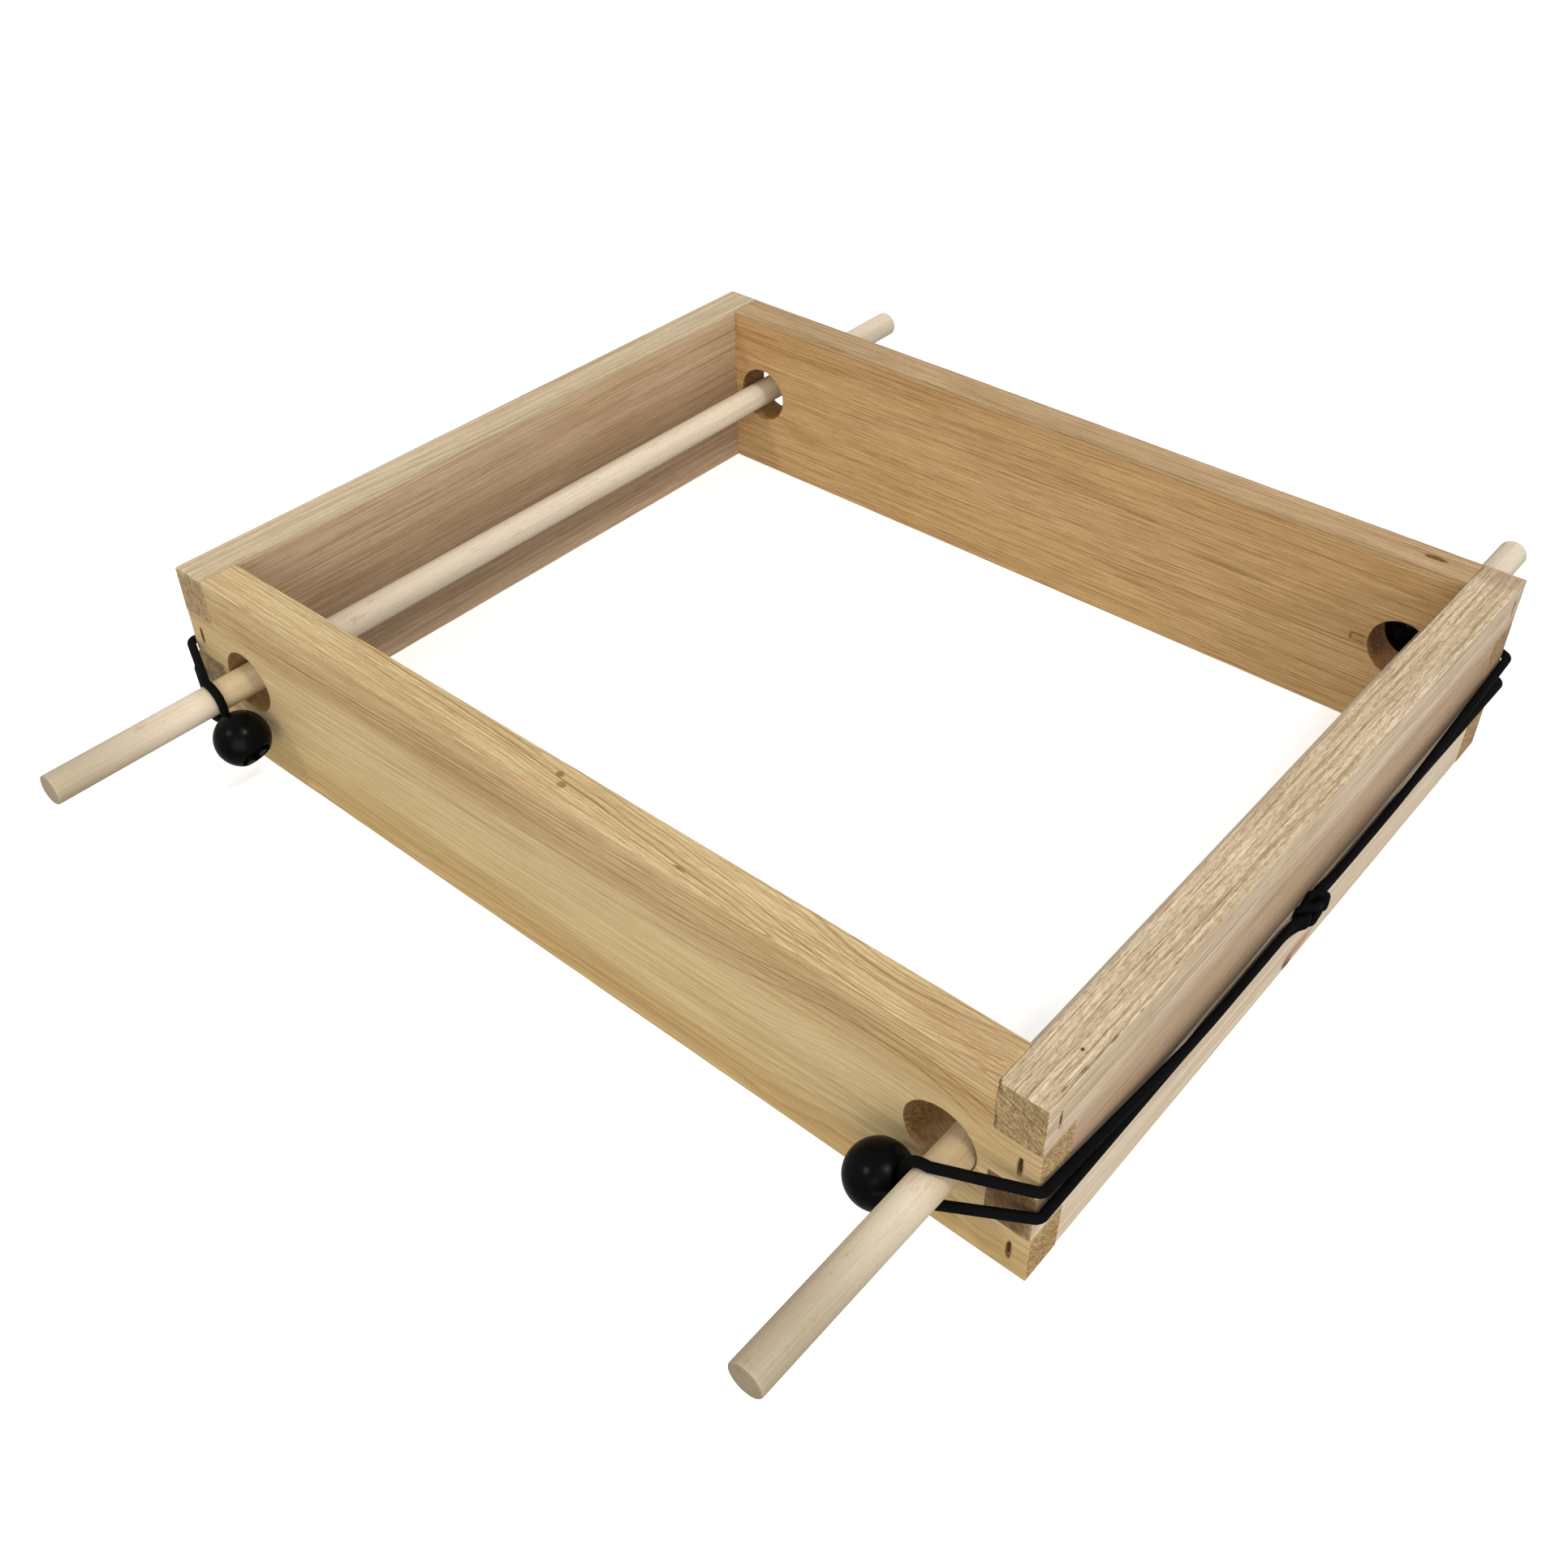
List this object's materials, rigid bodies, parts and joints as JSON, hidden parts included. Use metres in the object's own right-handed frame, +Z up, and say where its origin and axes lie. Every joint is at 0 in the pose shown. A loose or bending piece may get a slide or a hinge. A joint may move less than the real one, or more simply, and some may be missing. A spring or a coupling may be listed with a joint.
{
  "type": "tensioned frame loom",
  "caption": "Open rectangular wooden frame with finger-jointed corners; round dowels cross it through oversize holes and knotted ball bungees round each end pull them outwards.",
  "frame": {"origin": "centre of the underside: midway between the end boards and between the long boards, on the surface that the loom stands on", "axes": "+X along the long boards towards the right end board, +Y along the dowels towards the back board, +Z up"},
  "size_m": [0.5054, 0.62, 0.097],
  "materials": {
    "front_board_wood": "planed softwood, unfinished",
    "back_board_wood": "planed softwood, unfinished",
    "left_end_wood": "planed softwood, unfinished",
    "right_end_wood": "planed softwood, unfinished",
    "dowel_wood": "smooth turned hardwood, unfinished",
    "staple_wire": "dull dark wire",
    "ball_plastic": "satin moulded plastic",
    "elastic_cord": "braided elastic sheath"
  },
  "bodies": {
    "frame": {"front_board": "front_board_wood", "back_board": "back_board_wood", "left_end_board": "left_end_wood", "right_end_board": "right_end_wood", "front_left_staples": "staple_wire", "front_right_staples": "staple_wire", "back_left_staples": "staple_wire", "back_right_staples": "staple_wire", "front_left_loop": "elastic_cord", "front_right_loop": "elastic_cord", "back_left_loop": "elastic_cord", "back_right_loop": "elastic_cord"},
    "left_balls": {"front_left_ball": "ball_plastic", "back_left_ball": "ball_plastic", "front_left_cord_ends": "elastic_cord", "back_left_cord_ends": "elastic_cord"},
    "right_balls": {"front_right_ball": "ball_plastic", "back_right_ball": "ball_plastic", "front_right_cord_ends": "elastic_cord", "back_right_cord_ends": "elastic_cord"},
    "left_warp_dowel": {"left_dowel": "dowel_wood"},
    "right_warp_dowel": {"right_dowel": "dowel_wood"}
  },
  "joints": [
    {"name": "left_dowel_tension", "type": "slide", "parent": "frame", "child": "left_balls", "axis": [1, 0, 0], "range_m": [0, 0.014], "stiffness_N_per_m": 500, "springref_m": -0.08, "deforming": ["front_left_loop", "back_left_loop"]},
    {"name": "right_dowel_tension", "type": "slide", "parent": "frame", "child": "right_balls", "axis": [-1, 0, 0], "range_m": [0, 0.0155], "stiffness_N_per_m": 500, "springref_m": -0.08, "deforming": ["front_right_loop", "back_right_loop"]},
    {"name": "left_dowel_slide", "type": "slide", "parent": "left_balls", "child": "left_warp_dowel", "axis": [0, 1, 0], "range_m": [-0.08, 0.07]},
    {"name": "right_dowel_slide", "type": "slide", "parent": "right_balls", "child": "right_warp_dowel", "axis": [0, 1, 0], "range_m": [-0.07, 0.08]}
  ]
}
